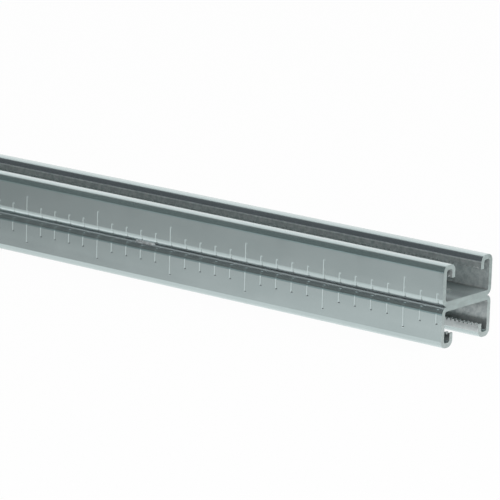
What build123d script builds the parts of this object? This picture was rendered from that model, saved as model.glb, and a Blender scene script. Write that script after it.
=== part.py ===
from build123d import *
import os

# A double strut channel: two roll-formed steel C-channels, stitch-welded back to back.
# Millimetres. X runs along the length, Y across, Z up. The origin is at the middle of
# the bottom, on the floor that the lower lips lie on.

# Stock
length = 2000.0
width = 41.0
channel_height = 21.0
sheet = 2.5
bend_inner_radius = 1.2

# Lips
mouth = 22.0
lip_depth = 7.0

# Slots through both webs, on the same stations as the long marks of the side scale
slot_width = 13.0
slot_length = 26.0
slot_pitch = 50.0
first_slot_from_end = 23.5

# Stitch welds in the grooves between the two channels
weld_length = 14.0
weld_pitch = 200.0
first_weld_from_end = 192.5
weld_reach = 2.4
weld_root_gap = 0.2
weld_fit = 0.02

# Worked out from the sizes above
seam_height = channel_height
bend_outer_radius = bend_inner_radius + sheet
bend_mid_radius = bend_inner_radius + sheet / 2
end_x = length / 2
slot_count = int((length - first_slot_from_end - slot_length / 2) / slot_pitch) + 1
weld_count = int((length - 2 * first_weld_from_end) / weld_pitch) + 1


def strip_path():
    """The middle line of the bent strip, from one lip's edge round to the other, web at the bottom."""
    leg_y = mouth / 2 + sheet / 2
    wall_y = width / 2 - sheet / 2
    tip_z = channel_height - lip_depth
    top_z = channel_height - sheet / 2
    web_z = sheet / 2
    half = [(leg_y, tip_z), (leg_y, top_z), (wall_y, top_z), (wall_y, web_z)]
    other_half = [(-y, z) for y, z in reversed(half)]
    return FilletPolyline(*half, *other_half, radius=bend_mid_radius)


def channel_section():
    """The C-section with its return lips, as a face across the length, web at the bottom."""
    flat = trace(strip_path(), line_width=sheet)
    return Plane.YZ * flat


def web_slots():
    """Every slot of the row along the web, as cutters that reach through it."""
    outline = SlotOverall(slot_length, slot_width)
    cutter = extrude(outline, amount=sheet, both=True)
    stations = [end_x - first_slot_from_end - slot_pitch * i for i in range(slot_count)]
    return [Pos(x, 0, sheet / 2) * cutter for x in stations]


def channel():
    """One slotted channel, centred on its length, web underside on Z = 0 and mouth upwards."""
    bar = extrude(channel_section(), amount=end_x, both=True)
    return (bar - web_slots()).solid()


def weld_section():
    """A bead across the groove: a round face between the two bends, cut off where they close up."""
    cheek_radius = bend_outer_radius + weld_fit
    root_height = bend_outer_radius - weld_root_gap / 2
    root_y = (cheek_radius**2 - root_height**2) ** 0.5
    bead = Circle(weld_reach)
    bead -= [Pos(0, up * bend_outer_radius) * Circle(cheek_radius) for up in (-1, 1)]
    bead -= Pos(root_y - weld_reach, 0) * Rectangle(2 * weld_reach, 2 * weld_reach)
    return bead


def weld_stitches():
    """All the beads of both grooves: solids that don't touch each other."""
    groove_y = width / 2 - bend_outer_radius
    bead = extrude(Plane.YZ * weld_section(), amount=weld_length / 2, both=True)
    row = [end_x - first_weld_from_end - weld_pitch * i for i in range(weld_count)]
    right = [Pos(x, groove_y, seam_height) * bead for x in row]
    left = [mirror(weld, about=Plane.XZ) for weld in right]
    return Compound(children=right + left)


def main():
    os.makedirs("parts", exist_ok=True)
    blank = channel()
    nodes = {
        "upper_channel": Pos(0, 0, seam_height) * blank,
        "lower_channel": Pos(0, 0, seam_height) * Rot(180, 0, 0) * blank,
        "weld_stitches": weld_stitches(),
    }
    for name, shape in nodes.items():
        export_step(shape, f"parts/{name}.step")


main()
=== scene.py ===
import math

import bmesh
import bpy
from mathutils import Matrix, Vector


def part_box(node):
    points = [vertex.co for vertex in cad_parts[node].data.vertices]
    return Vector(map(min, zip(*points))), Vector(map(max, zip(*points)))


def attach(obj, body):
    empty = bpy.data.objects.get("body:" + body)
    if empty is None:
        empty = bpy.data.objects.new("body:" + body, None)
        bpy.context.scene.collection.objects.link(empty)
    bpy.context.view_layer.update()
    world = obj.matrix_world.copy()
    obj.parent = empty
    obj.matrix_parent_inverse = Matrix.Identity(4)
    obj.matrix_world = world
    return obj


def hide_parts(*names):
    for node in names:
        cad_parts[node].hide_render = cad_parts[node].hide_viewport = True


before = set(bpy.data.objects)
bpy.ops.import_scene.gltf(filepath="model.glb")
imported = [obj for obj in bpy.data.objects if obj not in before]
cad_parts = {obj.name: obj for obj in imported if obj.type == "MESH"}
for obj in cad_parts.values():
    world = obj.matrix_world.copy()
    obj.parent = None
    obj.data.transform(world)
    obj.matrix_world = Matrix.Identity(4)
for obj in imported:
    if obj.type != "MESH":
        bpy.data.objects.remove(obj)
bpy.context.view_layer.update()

bl_info = {
    "name": "Double Strut Channel",
    "version": (1, 0, 0),
    "blender": (4, 5, 0),
    "location": "View3D > Sidebar > Strut",
    "description": "Two lipped steel channels welded back to back, with serrated lips and marked sides",
    "category": "Object",
}

MM = 0.001
BODY = "root"
NEAR = 1e-5
CLOSE = 1e-6
SENSOR_WIDTH = 36
FLOOR_SIZE = 14
ALONG_BAR = 0.99
SHARP_CHANNEL = math.radians(25)
SHARP_BEAD = math.radians(50)
BLACK = (0, 0, 0, 1)
WHITE = (1, 1, 1, 1)

# The channels' material slots, after the zinc in slot 0
EDGE_SLOT, MARK_SLOT, CUT_SLOT = 1, 2, 3

channel_low, channel_high = (Vector(corner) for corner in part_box("upper_channel"))
weld_low, weld_high = (Vector(corner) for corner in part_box("weld_stitches"))


class StrutSizes(bpy.types.PropertyGroup):
    """The rolled strip, its slots, its lip teeth, its side marks and its welds."""

    sheet: bpy.props.FloatProperty(
        name="Sheet", description="Thickness of the steel strip", default=2.5 * MM, unit="LENGTH")
    bend_radius: bpy.props.FloatProperty(
        name="Bend radius", description="Inside radius of every bend", default=1.2 * MM, unit="LENGTH")
    bend_steps: bpy.props.IntProperty(
        name="Bend steps", description="Flats that make up each bend", default=7)
    mouth: bpy.props.FloatProperty(
        name="Mouth", description="Width of the opening between the lips",
        default=22 * MM, unit="LENGTH")
    lip_depth: bpy.props.FloatProperty(
        name="Lip depth", description="How far the lips turn in, teeth included",
        default=7 * MM, unit="LENGTH")
    slot_width: bpy.props.FloatProperty(
        name="Slot width", description="Width of the round-ended slots in the web",
        default=13 * MM, unit="LENGTH")
    slot_length: bpy.props.FloatProperty(
        name="Slot length", description="End-to-end length of a slot", default=26 * MM, unit="LENGTH")
    slot_pitch: bpy.props.FloatProperty(
        name="Slot pitch", description="Distance from slot to slot", default=50 * MM, unit="LENGTH")
    first_slot: bpy.props.FloatProperty(
        name="First slot", description="From the cut end to the first slot's centre",
        default=23.5 * MM, unit="LENGTH")
    tooth_pitch: bpy.props.FloatProperty(
        name="Tooth pitch", description="Distance from tooth to tooth on the lips",
        default=2.5 * MM, unit="LENGTH")
    tooth_depth: bpy.props.FloatProperty(
        name="Tooth depth", description="Depth of the notches in the lips",
        default=0.9 * MM, unit="LENGTH")
    first_notch: bpy.props.FloatProperty(
        name="First notch", description="From the cut end to the first notch's middle",
        default=1.75 * MM, unit="LENGTH")
    notch_floor: bpy.props.FloatProperty(
        name="Notch floor", description="Flat length at the bottom of a notch",
        default=0.7 * MM, unit="LENGTH")
    notch_mouth: bpy.props.FloatProperty(
        name="Notch mouth", description="Length of a notch at the lip's edge",
        default=1.5 * MM, unit="LENGTH")
    mark_pitch: bpy.props.FloatProperty(
        name="Mark pitch", description="Distance from mark to mark along the sides",
        default=10 * MM, unit="LENGTH")
    first_mark: bpy.props.FloatProperty(
        name="First mark", description="From the cut end to the first mark",
        default=3.26 * MM, unit="LENGTH")
    mark_width: bpy.props.FloatProperty(
        name="Mark width", description="Width of a mark's groove", default=1.3 * MM, unit="LENGTH")
    mark_depth: bpy.props.FloatProperty(
        name="Mark depth", description="Depth of a mark's groove", default=0.3 * MM, unit="LENGTH")
    mark_slope: bpy.props.FloatProperty(
        name="Mark slope", description="How far a groove's walls lean in",
        default=0.26 * MM, unit="LENGTH")
    mark_run_out: bpy.props.FloatProperty(
        name="Mark run-out", description="Length over which a groove's end rises to the surface",
        default=0.5 * MM, unit="LENGTH")
    mark_bend_reach: bpy.props.FloatProperty(
        name="Mark reach", description="How far a mark runs down into the bend by the web",
        default=2.2 * MM, unit="LENGTH")
    left_marks: bpy.props.FloatVectorProperty(
        name="Left marks",
        description="Height over the web of the short and long marks on the upper channel's left side",
        default=(6.7 * MM, 11.7 * MM), size=2, unit="LENGTH")
    right_marks: bpy.props.FloatVectorProperty(
        name="Right marks",
        description="Height over the web of the short and long marks on the upper channel's right side",
        default=(8.95 * MM, 13.85 * MM), size=2, unit="LENGTH")
    weld_length: bpy.props.FloatProperty(
        name="Weld length", description="Length of one stitch weld", default=14 * MM, unit="LENGTH")
    weld_pitch: bpy.props.FloatProperty(
        name="Weld pitch", description="Distance from weld to weld", default=200 * MM, unit="LENGTH")
    weld_reach: bpy.props.FloatProperty(
        name="Weld reach", description="Radius of a bead's round face", default=2.4 * MM, unit="LENGTH")
    weld_ripples: bpy.props.IntProperty(
        name="Weld ripples", description="Ripples along one weld", default=9)


class StrutColours(bpy.types.PropertyGroup):
    """The colours of the zinc, the cut steel, the welds and the stage."""

    zinc: bpy.props.FloatVectorProperty(
        name="Zinc", description="Colour of the galvanised surface",
        default=(0.56, 0.65, 0.65), subtype="COLOR")
    zinc_dark: bpy.props.FloatVectorProperty(
        name="Zinc shade", description="Darker tone in the zinc's mottling",
        default=(0.51, 0.6, 0.6), subtype="COLOR")
    # Paler than the zinc: partly the unburnished zinc's own tone, partly painted light that brightens the
    # channels' insides; the cut edges mottle with it too
    inside: bpy.props.FloatVectorProperty(
        name="Inside", description="Colour of the zinc that the rolls didn't burnish",
        default=(0.7, 0.735, 0.73), subtype="COLOR")
    inside_dark: bpy.props.FloatVectorProperty(
        name="Inside shade", description="Darker tone in the mottling of the inside",
        default=(0.51, 0.555, 0.56), subtype="COLOR")
    # Painted shade: the web floor deep in each channel leans to this darker tone in its middle
    web: bpy.props.FloatVectorProperty(
        name="Web", description="Colour of the zinc on the web",
        default=(0.375, 0.45, 0.455), subtype="COLOR")
    # Painted highlights: the bends' bright bands and the side marks' ends lean to this tone
    painted_highlight: bpy.props.FloatVectorProperty(
        name="Polished", description="Lightest tone of the burnished bends and of the side marks' ends",
        default=(0.76, 0.88, 0.88), subtype="COLOR")
    # Painted dark reflection in the lower channel's web bends by the side, and on the marks there
    shadow: bpy.props.FloatVectorProperty(
        name="Shadow", description="Tone that the lower channel's web bends lean to at the side",
        default=(0.0, 0.1, 0.11), subtype="COLOR")
    # Painted tint of the dark reflection on the upper lip bends
    bend: bpy.props.FloatVectorProperty(
        name="Bend", description="Tone that the upper lip bends lean to",
        default=(0.0, 0.65, 0.65), subtype="COLOR")
    # Painted dark reflection where the upper lip bends leave the side
    turn: bpy.props.FloatVectorProperty(
        name="Turn", description="Tone that the upper lip bends lean to where they leave the side",
        default=(0.1, 0.24, 0.26), subtype="COLOR")
    # Painted shade in the lower channel's web bends within the side grooves
    hollow: bpy.props.FloatVectorProperty(
        name="Hollow", description="Tone that the lower channel's web bends lean to in the side grooves",
        default=(0.0, 0.4, 0.45), subtype="COLOR")
    # Painted dark reflection on the upper lips beside the mouth
    lip: bpy.props.FloatVectorProperty(
        name="Lip", description="Tone that the upper lips lean to beside the mouth",
        default=(0.0, 0.01, 0.1), subtype="COLOR")
    # Painted shade: the zinc deep in the side grooves by the seam takes this tone
    groove: bpy.props.FloatVectorProperty(
        name="Groove", description="Colour of the zinc deep in the side grooves",
        default=(0.54, 0.58, 0.59), subtype="COLOR")
    mark: bpy.props.FloatVectorProperty(
        name="Mark", description="Colour of the side marks' walls",
        default=(0.55, 0.63, 0.63), subtype="COLOR")
    cut_steel: bpy.props.FloatVectorProperty(
        name="Cut steel", description="Colour of the sawn ends",
        default=(0.46, 0.54, 0.53), subtype="COLOR")
    weld: bpy.props.FloatVectorProperty(
        name="Weld", description="Colour of the weld beads", default=(0.55, 0.6, 0.61), subtype="COLOR")
    floor: bpy.props.FloatVectorProperty(
        name="Floor", description="Colour of the floor", default=(0.66, 0.66, 0.66), subtype="COLOR")


class StrutStage(bpy.types.PropertyGroup):
    """Where the camera stands, in the part's own frame."""

    aim: bpy.props.FloatVectorProperty(
        name="Aim", description="Point that the camera looks at",
        default=(0.862925, 0.000033, 0.023275), subtype="XYZ", unit="LENGTH")
    azimuth: bpy.props.FloatProperty(
        name="Azimuth", description="Turn of the camera about Z from a view along +Y",
        default=math.radians(38.4062), unit="ROTATION")
    elevation: bpy.props.FloatProperty(
        name="Elevation", description="How far above the level the camera is",
        default=math.radians(13.1769), unit="ROTATION")
    roll: bpy.props.FloatProperty(
        name="Roll", description="Turn of the picture about the line of sight",
        default=math.radians(1.827), unit="ROTATION")
    distance: bpy.props.FloatProperty(
        name="Distance", description="From the camera to the aim", default=1.825335, unit="LENGTH")
    lens: bpy.props.FloatProperty(
        name="Lens", description="Focal length in millimetres for a 36 mm sensor", default=255.138)


def start_object(name):
    """Names the object that the last primitive made, and its mesh."""
    obj = bpy.context.active_object
    obj.name = name
    obj.data.name = name
    return obj


def clear_selection():
    bpy.ops.object.select_all(action="DESELECT")


def only(obj):
    """Makes this object the one that is selected and active."""
    clear_selection()
    obj.select_set(True)
    bpy.context.view_layer.objects.active = obj


def edit():
    bpy.ops.object.mode_set(mode="EDIT")


def leave_edit():
    bpy.ops.object.mode_set(mode="OBJECT")


def middle(item):
    """The middle of a vertex, an edge or a face."""
    if isinstance(item, bmesh.types.BMVert):
        return item.co
    return sum((v.co for v in item.verts), Vector()) / len(item.verts)


def pick(kind, test):
    """In edit mode, selects only the vertices, edges or faces that pass the test."""
    bpy.ops.mesh.select_mode(type=kind)
    bpy.ops.mesh.select_all(action="DESELECT")
    data = bpy.context.active_object.data
    mesh = bmesh.from_edit_mesh(data)
    items = {"VERT": mesh.verts, "EDGE": mesh.edges, "FACE": mesh.faces}[kind]
    chosen = [item for item in items if test(item)]
    if not chosen:
        raise RuntimeError("nothing to select for this step")
    for item in chosen:
        item.select_set(True)
    mesh.select_flush_mode()
    bmesh.update_edit_mesh(data)


def pick_all():
    bpy.ops.mesh.select_all(action="SELECT")


def finish_picked(slot):
    """Gives the picked faces the material in this slot."""
    bpy.context.active_object.active_material_index = slot
    bpy.ops.object.material_slot_assign()


def move(x=0.0, y=0.0, z=0.0):
    bpy.ops.transform.translate(value=(x, y, z))


def scale(factors, centre):
    bpy.ops.transform.resize(value=factors, center_override=centre)


def cut(point, normal, **settings):
    bpy.ops.mesh.bisect(plane_co=point, plane_no=normal, threshold=CLOSE, **settings)


def extrude_edges(x=0.0, y=0.0, z=0.0):
    bpy.ops.mesh.extrude_edges_move(TRANSFORM_OT_translate={"value": (x, y, z)})


def add_modifier(obj, kind, **settings):
    """Adds a modifier with these settings and applies it."""
    only(obj)
    bpy.ops.object.modifier_add(type=kind)
    modifier = obj.modifiers[-1]
    for name, value in settings.items():
        setattr(modifier, name, value)
    bpy.ops.object.modifier_apply(modifier=modifier.name)


def runs_along_x(edge):
    a, b = (v.co for v in edge.verts)
    return abs(a.y - b.y) < NEAR and abs(a.z - b.z) < NEAR


class ChannelForm:
    """Places on the upper channel that the modelling steps share."""

    def __init__(self, sizes):
        s = sizes
        self.s = s
        self.end = channel_high.x
        self.seam = channel_low.z
        self.length = channel_high.x - channel_low.x
        self.modules = round(self.length / s.slot_pitch)
        self.web_z = channel_low.z + s.sheet / 2
        self.top_z = channel_high.z - s.sheet / 2
        self.tip_z = channel_high.z - s.lip_depth
        self.wall_y = channel_high.y - s.sheet / 2
        self.leg_y = s.mouth / 2 + s.sheet / 2
        self.mid_radius = s.bend_radius + s.sheet / 2
        self.bend_y = self.wall_y - self.mid_radius
        self.web_bend_z = self.web_z + self.mid_radius
        self.slot_x = self.end - s.first_slot
        self.far_x = self.end - s.slot_pitch

    def mark_places(self):
        """The marks of one module, with True for the long one at the slot's centre."""
        s = self.s
        count = round(s.slot_pitch / s.mark_pitch)
        places = [self.end - s.first_mark - s.mark_pitch * i for i in range(count)]
        return [(x, self.is_long_mark(x)) for x in places]

    def is_long_mark(self, x):
        return self.from_row(x, self.s.first_slot, self.s.slot_pitch) < self.s.mark_pitch / 2

    def mark_height(self, side, is_long):
        heights = self.s.left_marks if side < 0 else self.s.right_marks
        return self.seam + heights[int(is_long)]

    def notch_cuts(self):
        """The four places where each notch of one module starts, deepens, shallows and ends."""
        s = self.s
        count = round(s.slot_pitch / s.tooth_pitch)
        middles = [self.end - s.first_notch - s.tooth_pitch * i for i in range(count)]
        offsets = (s.notch_mouth / 2, s.notch_floor / 2, -s.notch_floor / 2, -s.notch_mouth / 2)
        return [x + offset for x in middles for offset in offsets]

    def from_row(self, x, first, pitch):
        """How far a place is from the nearest of a row, the first of them this far from the cut end."""
        past = (self.end - first - x) % pitch
        return min(past, pitch - past)

    def on_leg(self, at):
        return abs(abs(at.y) - self.leg_y) < NEAR

    def on_wall(self, at):
        return abs(abs(at.y) - self.wall_y) < NEAR


def draw_slot(form):
    """The outline of a round-ended slot: a circle whose halves are moved apart."""
    radius = form.s.slot_width / 2
    slot_end = form.s.slot_length / 2
    outline_points = 42

    def on_half(vertex, way):
        from_centre = way * (vertex.co.x - form.slot_x)
        return abs(vertex.co.y) < radius + NEAR and NEAR < from_centre < slot_end

    bpy.ops.mesh.primitive_circle_add(
        vertices=outline_points, radius=radius, location=(form.slot_x, 0, form.web_z),
        rotation=(0, 0, math.pi / 2))
    for way in (1, -1):
        pick("VERT", lambda v: on_half(v, way))
        move(way * (slot_end - radius))


def draw_web(form):
    """The web of one module: a flat sheet with a round-ended slot, as two faces either side of the slot."""
    s = form.s
    slot_end = s.slot_length / 2

    def is_at(vertex, ends):
        return abs(vertex.co.y) < NEAR and min(abs(vertex.co.x - x) for x in ends) < NEAR

    bpy.ops.mesh.primitive_plane_add(size=1)
    start_object("upper_channel_strip")
    edit()
    scale((s.slot_pitch, 2 * form.wall_y, 1), (0, 0, 0))
    move(form.end - s.slot_pitch / 2, 0, form.web_z)
    bpy.ops.mesh.delete(type="ONLY_FACE")
    pick("EDGE", lambda e: abs(middle(e).y) < NEAR)
    bpy.ops.mesh.subdivide(number_cuts=1)
    bpy.ops.mesh.select_all(action="DESELECT")
    draw_slot(form)
    for ends in ((form.end, form.slot_x + slot_end), (form.far_x, form.slot_x - slot_end)):
        pick("VERT", lambda v: is_at(v, ends))
        bpy.ops.mesh.edge_face_add()
    for side in (-1, 1):
        pick("EDGE", lambda e: side * middle(e).y > -NEAR)
        bpy.ops.mesh.edge_face_add()


def fold_strip(form):
    """Folds up the sides and the lips, and rounds every bend to the same radius."""
    pick("EDGE", lambda e: form.on_wall(middle(e)))
    extrude_edges(z=form.top_z - form.web_z)
    for side in (-1, 1):
        pick("EDGE", lambda e: side * middle(e).y > form.wall_y - NEAR and middle(e).z > form.top_z - NEAR)
        extrude_edges(y=side * (form.leg_y - form.wall_y))
    pick("EDGE", lambda e: form.on_leg(middle(e)) and middle(e).z > form.top_z - NEAR)
    extrude_edges(z=form.tip_z - form.top_z)

    def is_bend(edge):
        at = middle(edge)
        on_leg_top = form.on_leg(at) and at.z > form.top_z - NEAR
        return runs_along_x(edge) and (form.on_wall(at) or on_leg_top)

    pick("EDGE", is_bend)
    bpy.ops.mesh.bevel(
        offset=form.mid_radius, offset_type="OFFSET", segments=form.s.bend_steps, profile=0.5,
        affect="EDGES", clamp_overlap=False)


def cut_marks(form):
    """Cuts the outline of each mark into the sides and the bends below them."""
    half = form.s.mark_width / 2

    def on_side(face):
        at = middle(face)
        return abs(at.y) > form.bend_y + NEAR and at.z < form.top_z - form.mid_radius

    def on_mark(face, x, side):
        at = middle(face)
        return on_side(face) and side * at.y > form.wall_y - NEAR and abs(at.x - x) < half

    for x, is_long in form.mark_places():
        for edge_x in (x - half, x + half):
            pick("FACE", on_side)
            cut((edge_x, 0, 0), (1, 0, 0))
        for side in (-1, 1):
            pick("FACE", lambda f: on_mark(f, x, side))
            cut((0, 0, form.mark_height(side, is_long)), (0, 0, 1))


def cut_teeth(form):
    """Notches the free edges of both lips."""
    s = form.s
    root_z = form.tip_z + s.tooth_depth
    line_z = root_z + s.tooth_depth / 2
    floor_reach = s.notch_floor / 2 + NEAR

    def on_flat_leg(face):
        return form.on_leg(middle(face)) and middle(face).z < form.top_z - form.mid_radius

    def on_edge(face):
        return form.on_leg(middle(face)) and middle(face).z < line_z

    def at_root(vertex):
        at = vertex.co
        on_tip = form.on_leg(at) and abs(at.z - form.tip_z) < NEAR
        return on_tip and form.from_row(at.x, s.first_notch, s.tooth_pitch) < floor_reach

    pick("FACE", on_flat_leg)
    cut((0, 0, line_z), (0, 0, 1))
    for x in form.notch_cuts():
        pick("FACE", on_edge)
        cut((x, 0, 0), (1, 0, 0))
    pick("VERT", at_root)
    move(z=s.tooth_depth)


def sink_marks(form):
    """Presses every mark into the outside of the strip and gives its side walls the mark's finish."""
    s = form.s
    on_line = s.mark_width / 8
    wall_lean = 0.3
    floor_y = channel_high.y - s.mark_depth

    def in_mark(face):
        at = middle(face)
        if form.from_row(at.x, s.first_mark, s.mark_pitch) > on_line or abs(at.y) < form.bend_y:
            return False
        side = -1 if at.y < 0 else 1
        if at.z > form.mark_height(side, form.is_long_mark(at.x)):
            return False
        if at.z > form.web_bend_z:
            return abs(at.y) > form.wall_y
        into_bend = form.web_bend_z - at.z < s.mark_bend_reach
        from_bend_centre = math.hypot(abs(at.y) - form.bend_y, at.z - form.web_bend_z)
        return into_bend and from_bend_centre > form.mid_radius

    edit()
    pick("FACE", in_mark)
    bpy.ops.mesh.inset(
        thickness=s.mark_slope, depth=-s.mark_depth, use_boundary=True, use_even_offset=True)
    pick("FACE", lambda f: wall_lean < abs(f.normal.x) < ALONG_BAR and abs(middle(f).y) > floor_y)
    finish_picked(MARK_SLOT)
    for side in (-1, 1):
        for is_long in (False, True):
            end_z = form.mark_height(side, is_long) - s.mark_slope
            pick("VERT", lambda v: abs(v.co.y - side * floor_y) < NEAR and abs(v.co.z - end_z) < NEAR)
            move(z=s.mark_slope - s.mark_run_out)
    leave_edit()


def finish_ends(form):
    """Gives the two sawn ends their own finish."""
    edit()
    pick("FACE", lambda f: abs(f.normal.x) > ALONG_BAR and abs(abs(middle(f).x) - form.end) < NEAR)
    finish_picked(CUT_SLOT)
    leave_edit()


def model_upper_channel(sizes, finishes):
    """The whole upper channel: one module folded and notched, repeated, then given its thickness."""
    form = ChannelForm(sizes)
    clear_selection()
    draw_web(form)
    fold_strip(form)
    cut_marks(form)
    cut_teeth(form)
    pick_all()
    bpy.ops.mesh.normals_make_consistent(inside=False)
    leave_edit()
    obj = bpy.context.active_object
    for finish in finishes:
        obj.data.materials.append(finish)
    add_modifier(
        obj, "ARRAY", count=form.modules, use_relative_offset=False, use_constant_offset=True,
        constant_offset_displace=(-sizes.slot_pitch, 0, 0), use_merge_vertices=True, merge_threshold=NEAR)
    add_modifier(
        obj, "SOLIDIFY", thickness=sizes.sheet, offset=0, use_even_offset=True, use_rim=True,
        material_offset_rim=EDGE_SLOT)
    sink_marks(form)
    finish_ends(form)
    only(obj)
    bpy.ops.object.shade_smooth_by_angle(angle=SHARP_CHANNEL)
    add_modifier(obj, "WEIGHTED_NORMAL", weight=100, keep_sharp=True)
    return obj


def turn_over(obj, seam):
    """Turns a mesh half round about the bar's seam, to the other side and the other way up."""
    only(obj)
    edit()
    pick_all()
    bpy.ops.transform.rotate(value=math.pi, orient_axis="X", center_override=(0, 0, seam))
    leave_edit()


def model_bead(sizes, middle_x, seam):
    """One stitch weld across the groove, with ripples along it and rounded ends."""
    reach = sizes.weld_reach
    half = sizes.weld_length / 2
    rings_per_ripple = 4
    rings = rings_per_ripple * sizes.weld_ripples
    ripple_height = 0.05
    bluntness = 6
    least_area = 0.05
    back_cut = 0.3
    tallness = 1.3
    bpy.ops.mesh.primitive_cylinder_add(vertices=20, radius=reach, depth=sizes.weld_length)
    obj = start_object("weld_bead")
    edit()
    bpy.ops.transform.rotate(value=math.pi / 2, orient_axis="Y", center_override=(0, 0, 0))
    for i in range(1, rings):
        pick_all()
        cut((half - sizes.weld_length * i / rings, 0, 0), (1, 0, 0))
    for i in range(rings + 1):
        x = half - sizes.weld_length * i / rings
        ripple = 1 + ripple_height * math.sin(2 * math.pi * i / rings_per_ripple)
        round_off = math.sqrt(max(1 - (abs(x) / half) ** bluntness, least_area))
        factor = ripple * round_off
        pick("VERT", lambda v: abs(v.co.x - x) < NEAR)
        scale((1, factor, factor), (x, 0, 0))
    pick_all()
    cut((0, reach * back_cut, 0), (0, 1, 0), clear_inner=True, use_fill=True)
    pick_all()
    scale((1, 1, tallness), (0, 0, 0))
    move(middle_x, weld_high.y - reach, seam)
    leave_edit()
    return obj


def copy_of(obj, name):
    """A copy with its own mesh."""
    only(obj)
    bpy.ops.object.duplicate(linked=False)
    copy = bpy.context.active_object
    copy.name = name
    copy.data.name = name
    return copy


def model_welds(sizes, finish):
    """Every stitch weld of both grooves, joined in one mesh."""
    half = sizes.weld_length / 2
    seam = (weld_low.z + weld_high.z) / 2
    first = weld_high.x - half
    count = round((weld_high.x - weld_low.x - sizes.weld_length) / sizes.weld_pitch) + 1
    clear_selection()
    bead = model_bead(sizes, first, seam)
    bead.data.materials.append(finish)
    beads = [bead]
    for i in range(1, count):
        copy = copy_of(bead, f"weld_bead_{i}")
        edit()
        pick_all()
        if i % 2:
            scale((-1, 1, -1), (first, 0, seam))
        move(-sizes.weld_pitch * i)
        leave_edit()
        beads.append(copy)
    for i, one in enumerate(list(beads)):
        copy = copy_of(one, f"weld_bead_far_{i}")
        turn_over(copy, seam)
        beads.append(copy)
    clear_selection()
    for one in beads:
        one.select_set(True)
    bpy.context.view_layer.objects.active = beads[0]
    bpy.ops.object.join()
    obj = start_object("weld_beads")
    only(obj)
    bpy.ops.object.shade_smooth_by_angle(angle=SHARP_BEAD)
    return obj


class Socket:
    """An output socket that adds a Math node for each operator used on it."""

    def __init__(self, shader, output):
        self.shader = shader
        self.output = output

    def __add__(self, other):
        return self.shader.math("ADD", self, other)

    def __radd__(self, other):
        return self.shader.math("ADD", other, self)

    def __sub__(self, other):
        return self.shader.math("SUBTRACT", self, other)

    def __rsub__(self, other):
        return self.shader.math("SUBTRACT", other, self)

    def __mul__(self, other):
        return self.shader.math("MULTIPLY", self, other)

    def __rmul__(self, other):
        return self.shader.math("MULTIPLY", other, self)

    def size(self):
        return self.shader.math("ABSOLUTE", self)

    def fraction(self):
        return self.shader.math("FRACT", self)

    def limit(self, low, high):
        return self.shader.math("MINIMUM", self.shader.math("MAXIMUM", self, low), high)

    def smooth(self, low, high):
        """0 below low, 1 above high and a smooth step between."""
        return self.shader.node(
            "ShaderNodeMapRange", {"interpolation_type": "SMOOTHSTEP"},
            {"Value": self, "From Min": low, "From Max": high})

    def over(self, edge, soft=0.1):
        """0 below the edge, and 1 from a soft step above it."""
        return self.smooth(edge, edge + soft)

    def under(self, edge, soft=0.1):
        """0 above the edge, and 1 from a soft step below it."""
        return (edge - self).smooth(0, soft)

    def between(self, low, high, soft=0.05, soft_high=None):
        """1 from low to high, with soft edges inside that range."""
        fade = soft if soft_high is None else soft_high
        return self.over(low, soft) * self.under(high, fade)


class Shader:
    """A node tree with one way of adding nodes."""

    def __init__(self, tree):
        self.tree = tree
        tree.nodes.clear()

    def node(self, kind, settings=None, inputs=None, output=0):
        """Adds a node, sets it up, fills its sockets and gives back one of its outputs."""
        node = self.tree.nodes.new(kind)
        for name, value in (settings or {}).items():
            setattr(node, name, value)
        for name, value in (inputs or {}).items():
            socket = node.inputs[name]
            if isinstance(value, Socket):
                self.tree.links.new(value.output, socket)
            else:
                socket.default_value = value
        if not node.outputs:
            return None
        return Socket(self, node.outputs[output])

    def math(self, operation, *values):
        return self.node("ShaderNodeMath", {"operation": operation}, dict(enumerate(values)))

    def mix(self, factor, a, b):
        """A colour between a and b: socket 0 is the factor, and 6, 7 and output 2 are the colours."""
        return self.node("ShaderNodeMix", {"data_type": "RGBA"}, {0: factor, 6: a, 7: b}, output=2)

    def place(self, stretch=(1, 1, 1)):
        """The object's own coordinates, stretched."""
        here = self.node("ShaderNodeTexCoord", output="Object")
        return self.node("ShaderNodeMapping", {}, {"Vector": here, "Scale": stretch})

    def parts(self, vector):
        """The X, Y and Z of a vector."""
        split = self.node("ShaderNodeSeparateXYZ", {}, {"Vector": vector}).output.node
        return [Socket(self, output) for output in split.outputs]

    def noise(self, scale, detail=3.0, rough=0.55, stretch=(1, 1, 1)):
        return self.node(
            "ShaderNodeTexNoise", {"noise_dimensions": "3D"},
            {"Vector": self.place(stretch), "Scale": scale, "Detail": detail, "Roughness": rough})

    def bump(self, height, strength, distance):
        inputs = {"Strength": strength, "Distance": distance, "Height": height}
        return self.node("ShaderNodeBump", {}, inputs)

    def rays(self):
        """1 for a camera ray, for a mirrored one and for one through glass, as three sockets."""
        kinds = ("Is Camera Ray", "Is Glossy Ray", "Is Transmission Ray")
        return [self.node("ShaderNodeLightPath", output=kind) for kind in kinds]

    def finish(self, surface):
        self.node("ShaderNodeOutputMaterial", {}, {"Surface": surface})

    def finish_metal(self, colour, roughness, metallic, normal=None):
        """A metal surface as the material's output."""
        inputs = {"Base Color": colour, "Roughness": roughness, "Metallic": metallic}
        if normal is not None:
            inputs["Normal"] = normal
        self.finish(self.node("ShaderNodeBsdfPrincipled", {}, inputs))


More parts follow.
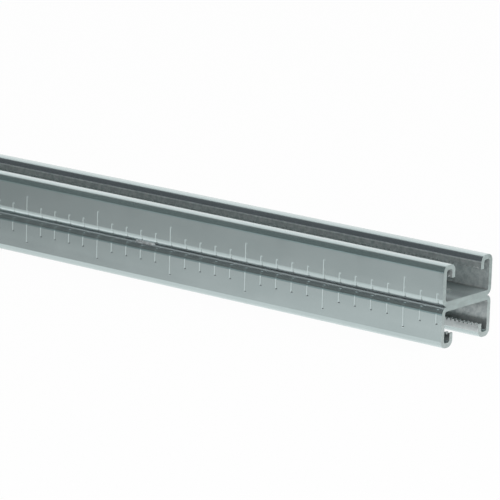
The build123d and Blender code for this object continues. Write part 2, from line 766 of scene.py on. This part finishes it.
class Place:
    """Where a shaded point is: x in metres, the rest in millimetres from the middle plane and the seam.

    The section's own lines are held in the same millimetres. A side is flat from web_bend to lip_bend,
    a lip's leg stands from leg_front to leg_back and ends at tip, and at lip_start the inside's paler,
    partly painted-light tone gives way to the outside's.
    """

    def __init__(self, shader, sizes):
        self.x, y, z = shader.parts(shader.place())
        self.y = y * (1 / MM)
        self.across = self.y.size()
        self.above = (z - channel_low.z) * (1 / MM)
        self.from_seam = self.above.size()
        self.sheet = sizes.sheet / MM
        self.side = channel_high.y / MM
        self.wall = self.side - self.sheet
        self.leg_front = sizes.mouth / 2 / MM
        self.leg_back = self.leg_front + self.sheet
        self.top = (channel_high.z - channel_low.z) / MM
        self.tip = self.top - sizes.lip_depth / MM
        self.web_bend = sizes.bend_radius / MM + self.sheet
        self.lip_bend = self.top - self.web_bend
        self.lip_start = self.lip_bend + 0.65

    def by_end(self, far, near):
        """0 at more than far from the cut end, 1 at less than near, and a smooth step between."""
        return self.x.smooth(channel_high.x - far * MM, channel_high.x - near * MM)

    def from_nearest(self, first, pitch):
        """Millimetres from the nearest of a row of places, the first of them this far from the cut end."""
        turns = (self.x - (channel_high.x - first)) * (1 / pitch) + 0.5
        return (turns.fraction() - 0.5) * (pitch / MM)


def rgba(colour, tone=1.0):
    return (*(tone * value for value in colour), 1.0)


def new_material(name):
    material = bpy.data.materials.new(name)
    material.use_nodes = True
    return material, Shader(material.node_tree)


def mark_tones(at, sizes):
    """How much painted highlight the strip has at the side marks' ends, and how much painted shadow in a
    line beside them.
    """
    first_long_mark = sizes.first_mark + 2 * sizes.mark_pitch
    from_mark = at.from_nearest(sizes.first_mark, sizes.mark_pitch)
    from_long_mark = at.from_nearest(first_long_mark, sizes.slot_pitch)
    short_top = sizes.left_marks[0] / MM
    long_end = -sizes.right_marks[1] / MM
    at_top = at.above.between(short_top - 0.95, short_top + 0.05, 0.2, 0.1)
    at_end = at.above.between(long_end - 0.5, long_end + 0.8, 0.2)
    # Painted highlights at the short marks' tops and the long marks' ends
    top = from_mark.between(-0.6, 0.75, 0.1, 0.2) * at_top
    end = from_long_mark.between(-0.65, 0.65, 0.1) * at_end
    # Painted shadow line beside each mark in the web bend's bright band
    on_bend = at.across.over(at.wall) * at.above.between(0.9, at.web_bend, 0.9)
    beside = from_mark.between(-0.05, 0.5, 0.15) * on_bend
    return end * 0.7 + top * 0.35, beside * 0.42


def rolled_zinc(shader, at, clouded, sizes, colours):
    """The outside that the rolls burnished: the flat sides, the bends and the lips' tops, with painted
    highlights, painted shade and painted dark reflections over the zinc.
    """
    across, above = at.across, at.above
    upper_flat = above.between(at.web_bend + 0.25, at.lip_bend + 0.1, 0.1)
    lower_flat = above.between(-at.lip_bend - 0.1, 0.15 - at.web_bend, 0.1)
    mark_floor = at.side - sizes.mark_depth / MM
    side_or_floor = across.over(at.side - 0.06, 0.02) + across.under(mark_floor + 0.01, 0.01)
    # Painted shade: the flat sides are darkened, and the lower channel's side more so by its lip away from
    # the sawn end
    side = side_or_floor * (upper_flat + lower_flat)
    foot_top = 11
    foot = side * above.under(-foot_top, at.lip_bend - foot_top) * (1 - at.by_end(280, 50))

    # Painted shade deep in the side grooves by the seam, and in the lower web bends within them
    in_groove = across.over(at.side - at.web_bend - 0.8, 0.5)
    groove = in_groove * at.from_seam.under(2.4, 1.2)
    hollow = in_groove * above.between(-2.4, -0.8, 0.4, 0.5)
    # Painted highlights: the strip just above the seam, the upper web bend's bright band away from the sawn
    # end, and the lower lips' undersides near it
    crease = above.between(0.3, 2, 0.5)
    bend_highlight = above.between(-0.3, at.web_bend + 0.1, 0.3, 0.05) * (1 - at.by_end(340, 60))
    belly = above.under(2.2 - at.top, 1.8) * at.by_end(400, 50)

    # Painted dark reflections: where the bends leave the sides, over the upper lip bends and on the upper
    # lips beside the mouth
    bend_start = across.over(at.side - 0.5)
    lower_turn = bend_start * above.between(-at.web_bend - 0.3, 1.4 - at.web_bend, 0.05, 0.9)
    upper_turn = bend_start * above.between(at.lip_bend - 0.4, at.lip_bend + 1.3, 0.05, 0.9)
    upper_bend = across.over(at.wall) * above.between(at.lip_bend, at.top - 0.6, 0.2, 0.8)
    lip = across.under(at.leg_front + 1.7, 0.6) * above.over(at.lip_start, 0.05)

    mark_ends, beside_marks = mark_tones(at, sizes)
    lighter = bend_highlight * 0.6 + belly * 0.6 + crease * 0.5 + mark_ends
    darker = side * 0.2 + foot * 0.23 + beside_marks
    zinc = shader.mix(groove, clouded, rgba(colours.groove))
    zinc = shader.mix(lighter, zinc, rgba(colours.painted_highlight))
    zinc = shader.mix(darker, zinc, BLACK)
    # Painted dark reflections, each leaning to its own tone
    zinc = shader.mix(upper_bend * 0.12, zinc, rgba(colours.bend))
    zinc = shader.mix(upper_turn * 0.13, zinc, rgba(colours.turn))
    zinc = shader.mix(hollow * 0.14, zinc, rgba(colours.hollow))
    zinc = shader.mix(lower_turn * 0.46, zinc, rgba(colours.shadow))
    return shader.mix(lip * 0.34, zinc, rgba(colours.lip))


def raw_zinc(shader, at, inside, spangle, colours):
    """The inside, which the rolls didn't burnish: paler in part as painted light, spangled, and with
    painted shade in its corners.
    """
    across, above = at.across, at.above
    cut_end = at.by_end(25, 0)
    web = inside * at.from_seam.under(at.sheet + 0.1, 0.05)
    # Painted shade on the web floor by the near wall, towards the sawn end
    near_wall = web * at.y.under(-6, 8) * at.by_end(32, 15)
    # Painted shade in the inner corners, on the inner walls by the sawn end and in the lower channel's
    # pockets behind the lips
    corner = across.over(at.wall - 1.4, 0.8) * at.from_seam.under(at.sheet + 1, 0.8)
    upper_end = cut_end * above.between(2, 9, 0.4, 3)
    lower_end = cut_end * above.between(-9, -2, 4, 0.4)
    pocket_shade = 0.14 + 0.28 * at.by_end(15, 0)
    pocket = across.over(at.leg_back - 0.1) * above.under(2.6 - at.tip, 1.8) * pocket_shade

    on_leg = across.under(at.leg_back + 0.7)
    # Painted shade on the upper lips' legs, deeper towards their tops, and on the lower legs by their tips
    # near the sawn end
    leg_shade = above * 0.045 - 0.5
    leg = on_leg * above.between(at.tip - 0.2, at.lip_bend + 0.1, 0.05, 0.2) * leg_shade
    by_tip = above.under(1 - at.tip) * above.over(-at.lip_bend - 0.1, 2)
    tip = on_leg * by_tip * at.by_end(20, 10)
    # Painted light on the back of the upper lips' legs, seen through the notches
    lip_back = across.between(at.leg_back - 0.1, at.leg_back + 0.1) * above.over(at.tip - 0.3)
    lip_face = across.under(at.leg_front + 0.2) * above.under(0.1 - at.tip)

    flecks = spangle.smooth(0.35, 0.65) * (1 - lip_face * 0.6) + lip_face * 0.36
    ends = upper_end * 0.1 + lower_end * 0.18
    darker = leg + pocket + tip * 0.24 + corner * 0.15 + ends + near_wall * 0.42
    # Painted shade on the web floor: the darker web tone in its middle, the zinc towards the walls
    web_floor_shade = shader.mix(across.smooth(1, 8), rgba(colours.web), rgba(colours.zinc))
    zinc = shader.mix(flecks, rgba(colours.inside), rgba(colours.inside_dark))
    zinc = shader.mix(web * 0.8, zinc, web_floor_shade)
    zinc = shader.mix(lip_back * 0.4, zinc, WHITE)
    return shader.mix(darker, zinc, BLACK)


def zinc_finish(sizes, colours):
    """Galvanised strip: burnished outside with painted light and shade, and a cloudier inside whose paler
    tone is partly painted light.
    """
    material, shader = new_material("galvanised_zinc")
    at = Place(shader, sizes)
    clouds = shader.noise(45, detail=4, rough=0.6, stretch=(0.6, 1, 1))
    rolling = shader.noise(90, detail=3, stretch=(0.05, 1, 1))
    spangle = shader.noise(420, detail=4, rough=0.7)
    tone = (clouds * 0.6 + rolling * 0.4).smooth(0.36, 0.66)
    clouded = shader.mix(tone, rgba(colours.zinc_dark), rgba(colours.zinc))
    # The inside's paler tone, partly painted light, takes over here from the outside's painted light and
    # shade
    inside = at.across.under(at.wall + 0.2) * at.from_seam.between(at.sheet - 0.1, at.lip_start)
    outer = rolled_zinc(shader, at, clouded, sizes, colours)
    inner = raw_zinc(shader, at, inside, spangle, colours)
    colour = shader.mix(inside, outer, inner)
    roughness = 0.17 + clouds * 0.08 + rolling * 0.05 + inside * 0.14
    metallic = 0.85 - inside * spangle * 0.25
    height = clouds * 0.35 + rolling * 0.15 + spangle * inside * 0.3
    shader.finish_metal(colour, roughness, metallic, shader.bump(height, 0.05, 0.6 * MM))
    return material


def edge_finish(sizes, colours):
    """The cut edges of the strip, at the slots and the teeth: dull, with painted shade on the teeth."""
    material, shader = new_material("cut_edge")
    at = Place(shader, sizes)
    lower_edges = at.above.under(1 - at.tip, 0.5)
    upper_edges = at.above.over(at.tip - 1, 0.5) * at.by_end(60, 20)
    # Painted shade on the lower lips' teeth, and on the upper lips' teeth near the sawn end
    tooth = (lower_edges + upper_edges) * at.across.under(at.leg_back + 1, 0.5)
    grain = shader.noise(900)
    mottled = shader.mix(grain.smooth(0.35, 0.65), rgba(colours.inside), rgba(colours.zinc_dark))
    shader.finish_metal(shader.mix(tooth * 0.3, mottled, BLACK), 0.45 + grain * 0.2, 0.6)
    return material


def mark_finish(sizes, colours):
    """The side walls of a pressed mark, with specks, and a painted dark reflection in the lower channel's
    web bend.
    """
    material, shader = new_material("pressed_mark")
    at = Place(shader, sizes)
    lower_bend = at.above.between(-at.web_bend - 0.05, 0)
    speckle = shader.noise(300, detail=2)
    bright = shader.mix(speckle.smooth(0.2, 0.4), rgba(colours.zinc), rgba(colours.mark))
    # Painted dark reflection: the marks take the lower web bend's dark tone there
    colour = shader.mix(lower_bend * 0.65, bright, rgba(colours.shadow))
    shader.finish_metal(colour, 0.2 + speckle * 0.1, 0.95)
    return material


def cut_finish(sizes, colours):
    """A sawn end: fine lines across the section, with a cool grey-green tone, painted lighter on the lower
    channel and with painted shade by the upper channel's far wall.
    """
    material, shader = new_material("sawn_end")
    at = Place(shader, sizes)
    lines = shader.noise(500, detail=4, rough=0.7, stretch=(1, 0.18, 1))
    patches = shader.noise(160, detail=2)
    tone = (lines * 0.7 + patches * 0.3).smooth(0.35, 0.68)
    # Painted light on the lower channel's end, and painted shade on the upper channel's far wall
    lower_end = at.above.under(-2, 10)
    far_wall = at.y.smooth(at.wall - 1.5, at.wall) * at.above.smooth(3, 6)
    streaked = shader.mix(tone, rgba(colours.cut_steel, 0.78), rgba(colours.cut_steel))
    paler = shader.mix(lower_end * 0.13, streaked, WHITE)
    colour = shader.mix(far_wall * 0.12, paler, BLACK)
    shader.finish_metal(colour, 0.5 + lines * 0.2, 0.7, shader.bump(lines, 0.25, 0.1 * MM))
    return material


def weld_finish(colours):
    """Weld metal under the zinc: rougher, and darker in its hollows."""
    material, shader = new_material("weld_metal")
    slag = shader.noise(700, detail=4, rough=0.6)
    colour = shader.mix(slag.smooth(0.38, 0.62), rgba(colours.weld, 0.5), rgba(colours.weld))
    shader.finish_metal(colour, 0.45 + slag * 0.25, 0.8, shader.bump(slag, 0.3, 0.2 * MM))
    return material


def floor_finish(colours):
    """A pale floor that the camera sees as white, with a soft shadow, and the steel as a soft glow.

    The glow falls off in front of the bar. The lower channel's side mirrors the nearer part of the floor,
    and the upper channel's side the farther part.
    """
    material, shader = new_material("studio_floor")
    seen, mirrored, through = shader.rays()
    grain = shader.noise(30, detail=2)
    colour = shader.mix(grain, rgba(colours.floor, 0.98), rgba(colours.floor))
    base = shader.node("ShaderNodeBsdfDiffuse", {}, {"Color": colour})
    x, y, _ = shader.parts(shader.place())
    ahead = y * -1
    nearer = x * 1.55 - 0.464
    farther = 0.2865 - x * 0.5 + (ahead - 0.15) * 1.8
    front = (nearer + ahead.smooth(0.085, 0.1) * farther).limit(0.4, 1)
    falloff = (1 - ahead.smooth(0.032, 0.044) * (1 - front)) * (1 - ahead.smooth(0.2, 0.4) * 0.8)
    glow = shader.mix(mirrored * (1 - falloff), WHITE, BLACK)
    white = shader.node("ShaderNodeEmission", {}, {"Color": glow, "Strength": 1.0})
    whiteness = 0.975
    factor = (seen + through + mirrored).limit(0, 1) * whiteness
    shader.finish(shader.node("ShaderNodeMixShader", {}, {0: factor, 1: base, 2: white}))
    return material


def studio_world():
    """A bright backdrop behind the bar, and a dim room in front of it and above."""
    world = bpy.data.worlds.new("studio")
    bpy.context.scene.world = world
    world.use_nodes = True
    shader = Shader(world.node_tree)
    _, y, _ = shader.parts(shader.node("ShaderNodeTexCoord", output="Generated"))
    seen, mirrored, through = shader.rays()
    behind = y.smooth(-0.05, 0.33)
    shown = (seen + through + mirrored * behind).limit(0, 1)
    dim_level = 0.11
    room = dim_level + behind
    level = room + shown * (1 - room)
    background = shader.node("ShaderNodeBackground", {}, {"Color": WHITE, "Strength": level})
    shader.node("ShaderNodeOutputWorld", {}, {"Surface": background})


def add_softbox(name, place, aim, size, power):
    """A rectangular area lamp that points at a place, hidden from the camera."""
    bpy.ops.object.light_add(type="AREA", location=place)
    lamp = bpy.context.active_object
    lamp.name = name
    lamp.data.shape = "RECTANGLE"
    lamp.data.size, lamp.data.size_y = size
    lamp.data.energy = power
    lamp.rotation_euler = (Vector(aim) - Vector(place)).to_track_quat("-Z", "Y").to_euler()
    lamp.visible_camera = False


def place_camera(stage):
    """The camera at its own azimuth, elevation and roll about the aim."""
    az, el, roll = stage.azimuth, stage.elevation, stage.roll
    back = Vector((math.sin(az) * math.cos(el), -math.cos(az) * math.cos(el), math.sin(el)))
    level = (-back).cross(Vector((0, 0, 1))).normalized()
    rise = level.cross(-back)
    right = math.cos(roll) * level + math.sin(roll) * rise
    up = math.cos(roll) * rise - math.sin(roll) * level
    bpy.ops.object.camera_add()
    camera = bpy.context.active_object
    camera.name = "photo_camera"
    turn = Matrix((right, up, back)).transposed().to_4x4()
    camera.matrix_world = Matrix.Translation(Vector(stage.aim) + back * stage.distance) @ turn
    camera.data.sensor_width = SENSOR_WIDTH
    camera.data.lens = stage.lens
    camera.data.clip_start = 0.01
    bpy.context.scene.camera = camera


class STRUT_OT_channels(bpy.types.Operator):
    """Model the two channels, one the turned copy of the other"""

    bl_idname = "strut.channels"
    bl_label = "Channels"

    def execute(self, context):
        sizes = context.scene.strut_sizes
        colours = context.scene.strut_colours
        makers = (zinc_finish, edge_finish, mark_finish, cut_finish)
        finishes = [make(sizes, colours) for make in makers]
        upper = model_upper_channel(sizes, finishes)
        upper.name = "upper_channel_skin"
        lower = copy_of(upper, "lower_channel_skin")
        turn_over(lower, channel_low.z)
        for obj, node in ((upper, "upper_channel"), (lower, "lower_channel")):
            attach(obj, BODY)
            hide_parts(node)
        return {"FINISHED"}


class STRUT_OT_welds(bpy.types.Operator):
    """Model the stitch welds in the grooves between the channels"""

    bl_idname = "strut.welds"
    bl_label = "Stitch welds"

    def execute(self, context):
        welds = model_welds(context.scene.strut_sizes, weld_finish(context.scene.strut_colours))
        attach(welds, BODY)
        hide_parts("weld_stitches")
        return {"FINISHED"}


class STRUT_OT_stage(bpy.types.Operator):
    """Set up the floor, the light and the camera"""

    bl_idname = "strut.stage"
    bl_label = "Stage"

    def execute(self, context):
        clear_selection()
        bpy.ops.mesh.primitive_plane_add(size=FLOOR_SIZE)
        floor = start_object("studio_floor")
        floor.data.materials.append(floor_finish(context.scene.strut_colours))
        studio_world()
        add_softbox("overhead_softbox", place=(1.9, 0.3, 2.2), aim=(0.8, 0, 0), size=(1.6, 1.2), power=20)
        add_softbox("front_softbox", place=(1.6, -1.3, 0.4), aim=(0.85, 0, 0), size=(0.8, 0.5), power=10)
        place_camera(context.scene.strut_stage)
        return {"FINISHED"}


class STRUT_PT_panel(bpy.types.Panel):
    """Lists the strut's sizes, colours and steps"""

    bl_idname = "STRUT_PT_panel"
    bl_label = "Double strut channel"
    bl_space_type = "VIEW_3D"
    bl_region_type = "UI"
    bl_category = "Strut"

    def draw(self, context):
        for operator in (STRUT_OT_channels, STRUT_OT_welds, STRUT_OT_stage):
            self.layout.operator(operator.bl_idname)
        for group in (context.scene.strut_sizes, context.scene.strut_colours, context.scene.strut_stage):
            column = self.layout.column()
            for name in group.bl_rna.properties.keys():
                if name not in ("rna_type", "name"):
                    column.prop(group, name)


CLASSES = (
    StrutSizes, StrutColours, StrutStage,
    STRUT_OT_channels, STRUT_OT_welds, STRUT_OT_stage, STRUT_PT_panel,
)


def register():
    for cls in CLASSES:
        bpy.utils.register_class(cls)
    bpy.types.Scene.strut_sizes = bpy.props.PointerProperty(type=StrutSizes)
    bpy.types.Scene.strut_colours = bpy.props.PointerProperty(type=StrutColours)
    bpy.types.Scene.strut_stage = bpy.props.PointerProperty(type=StrutStage)


def unregister():
    del bpy.types.Scene.strut_stage
    del bpy.types.Scene.strut_colours
    del bpy.types.Scene.strut_sizes
    for cls in reversed(CLASSES):
        bpy.utils.unregister_class(cls)


def main():
    register()
    bpy.context.scene.view_settings.view_transform = "Standard"
    bpy.ops.strut.channels()
    bpy.ops.strut.welds()
    bpy.ops.strut.stage()


if __name__ == "__main__":
    main()
